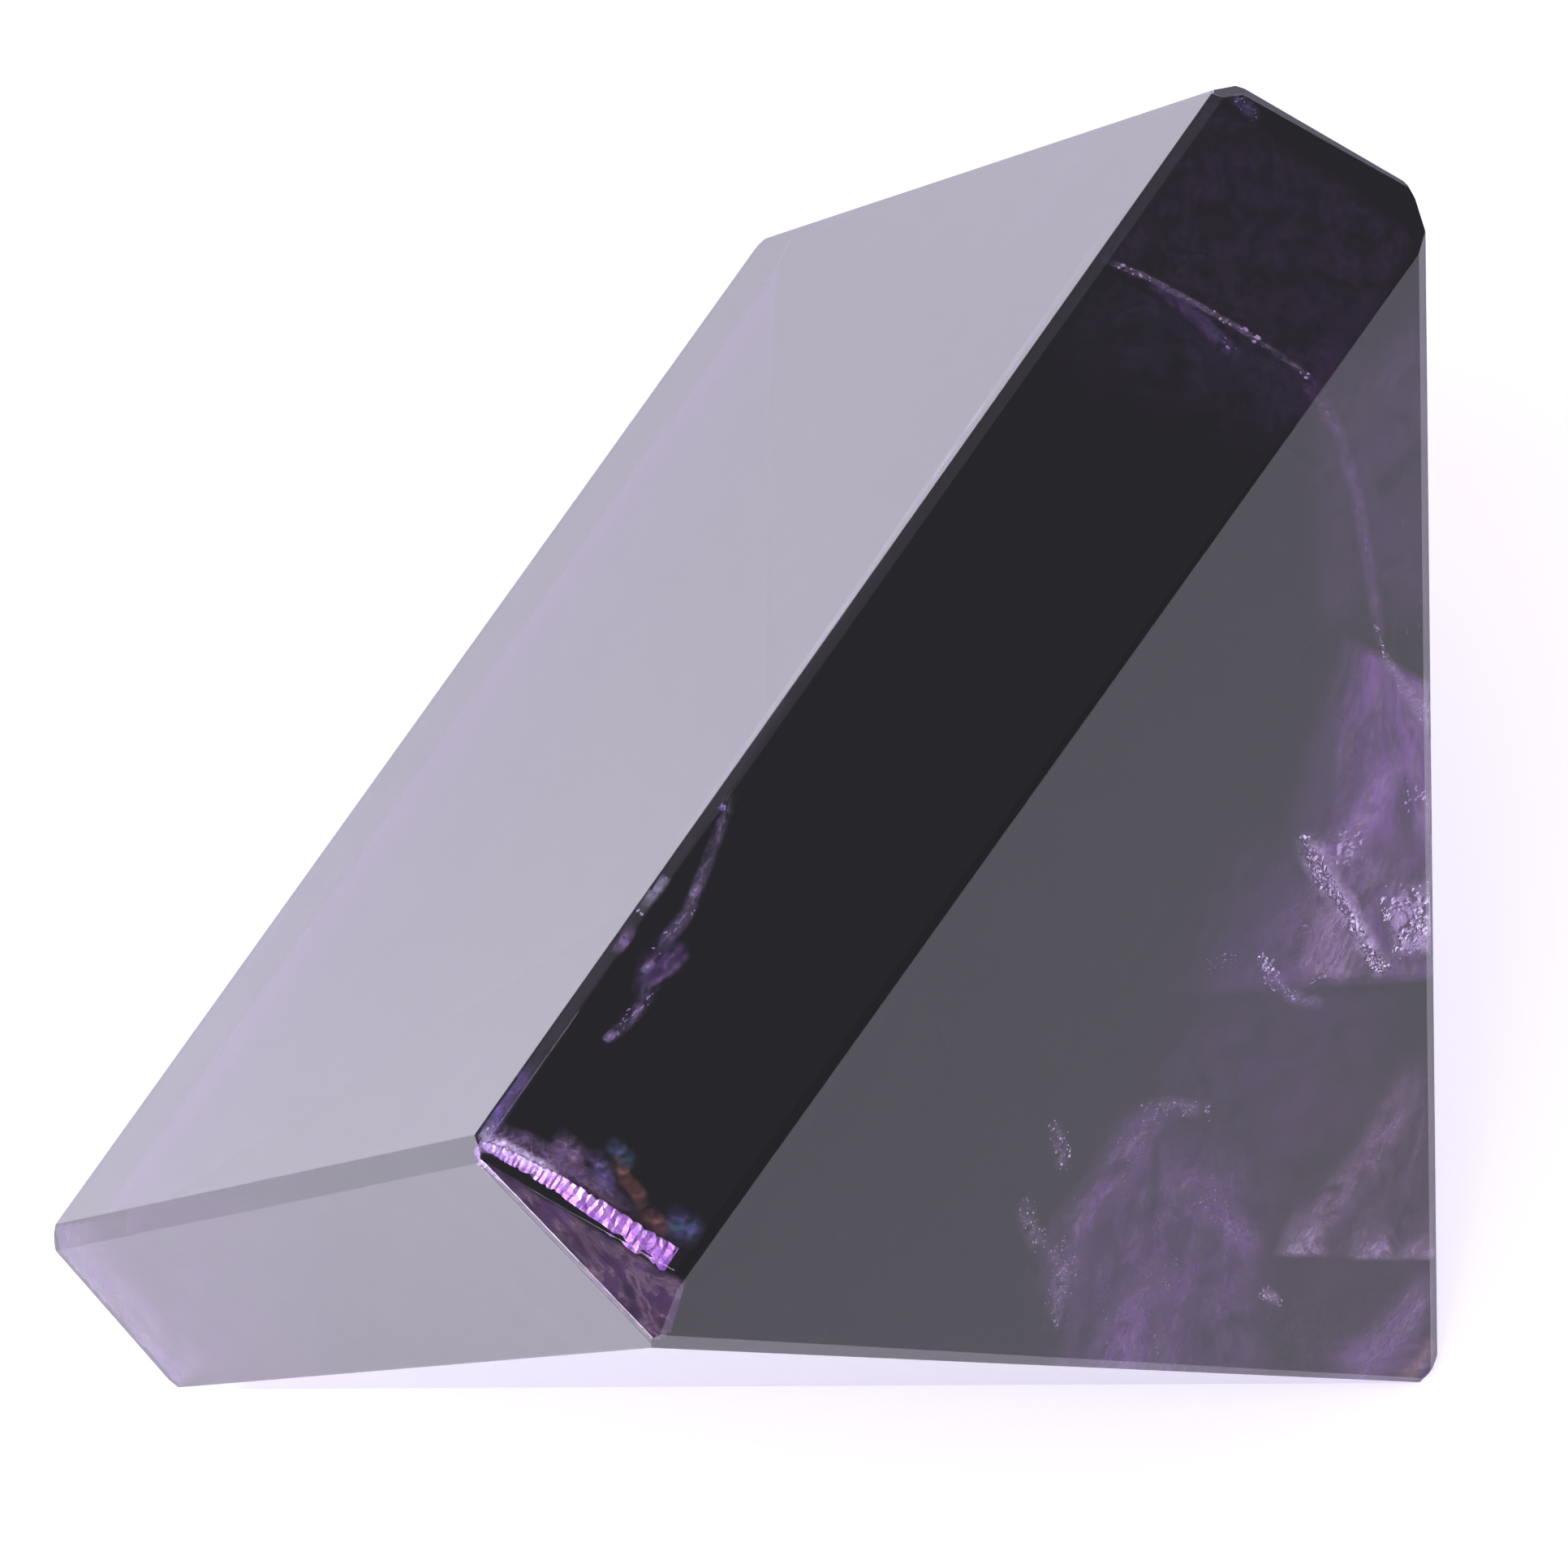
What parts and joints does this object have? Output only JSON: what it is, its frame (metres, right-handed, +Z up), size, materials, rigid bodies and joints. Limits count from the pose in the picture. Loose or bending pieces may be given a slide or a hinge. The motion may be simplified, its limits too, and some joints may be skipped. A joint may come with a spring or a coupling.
{
  "type": "amethyst pyramid",
  "caption": "Polished square pyramid of dark amethyst with a low outward-leaning base band, bevelled edges and a slightly rounded tip, lying on a slope.",
  "frame": {"origin": "centre of the bounding box on the surface that the stone lies on, with the resting slope at Z = 0", "axes": "+Z up, away from the resting slope; +X along that slope towards the apex; +Y along the square underside's level edges, towards the back"},
  "size_m": [0.063, 0.0694, 0.0598],
  "materials": {
    "amethyst": "polished"
  },
  "bodies": {
    "root": {"amethyst_pyramid": "amethyst"}
  },
  "joints": []
}
